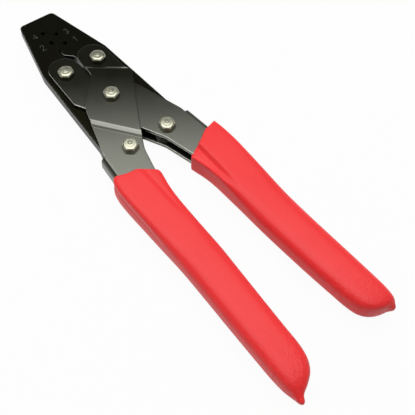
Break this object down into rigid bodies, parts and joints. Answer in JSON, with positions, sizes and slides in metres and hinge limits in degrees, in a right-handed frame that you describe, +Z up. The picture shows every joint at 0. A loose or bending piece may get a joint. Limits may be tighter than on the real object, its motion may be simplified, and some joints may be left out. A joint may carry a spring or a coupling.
{
  "type": "crimping tool",
  "caption": "Hand crimping pliers with crossed folded-steel handles, two near-parallel jaws with interlocking nests, hex bolts and dipped vinyl grips.",
  "frame": {"origin": "centre of the centre bolt's head, on the surface that the tool lies on", "axes": "+X from the jaws towards the grips along the middle of the closed tool, +Y towards the right jaw, +Z up along the bolts towards their nuts"},
  "size_m": [0.2271, 0.0589, 0.017],
  "materials": {
    "black_steel": "black oxide, satin",
    "jaw_steel": "black oxide, satin",
    "plated_steel": "bright plating",
    "plain_steel": "turned, oiled",
    "red_vinyl": "soft satin"
  },
  "bodies": {
    "outer_handle": {"outer_handle_frame": "black_steel", "outer_grip": "red_vinyl", "centre_bolt": "plated_steel", "centre_nut": "plated_steel", "centre_spacer": "plain_steel", "front_right_bolt": "plated_steel", "front_right_nut": "plated_steel", "rear_left_bolt": "plated_steel", "rear_left_nut": "plated_steel", "rear_left_bush": "plain_steel"},
    "inner_handle": {"inner_handle_frame": "black_steel", "inner_grip": "red_vinyl", "front_left_bolt": "plated_steel", "front_left_nut": "plated_steel", "rear_right_bolt": "plated_steel", "rear_right_nut": "plated_steel", "rear_right_bush": "plain_steel"},
    "right_jaw": {"right_jaw": "jaw_steel"},
    "left_jaw": {"left_jaw": "jaw_steel"}
  },
  "joints": [
    {"name": "handle_pivot", "type": "hinge", "parent": "outer_handle", "child": "inner_handle", "pos_m": [0, 0, 0.0085], "axis": [0, 0, 1], "range_deg": [0, 20]},
    {"name": "right_jaw_pivot", "type": "hinge", "parent": "outer_handle", "child": "right_jaw", "pos_m": [-0.0248, 0.0089, 0.0085], "axis": [0, 0, 1], "range_deg": [0, 10.9]},
    {"name": "left_jaw_pivot", "type": "hinge", "parent": "inner_handle", "child": "left_jaw", "pos_m": [-0.0248, -0.0089, 0.0085], "axis": [0, 0, 1], "range_deg": [-10.9, 0]}
  ],
  "couplings": [
    {"joint": "right_jaw_pivot", "follows": "handle_pivot", "ratio": 0.545},
    {"joint": "left_jaw_pivot", "follows": "handle_pivot", "ratio": -0.545}
  ]
}
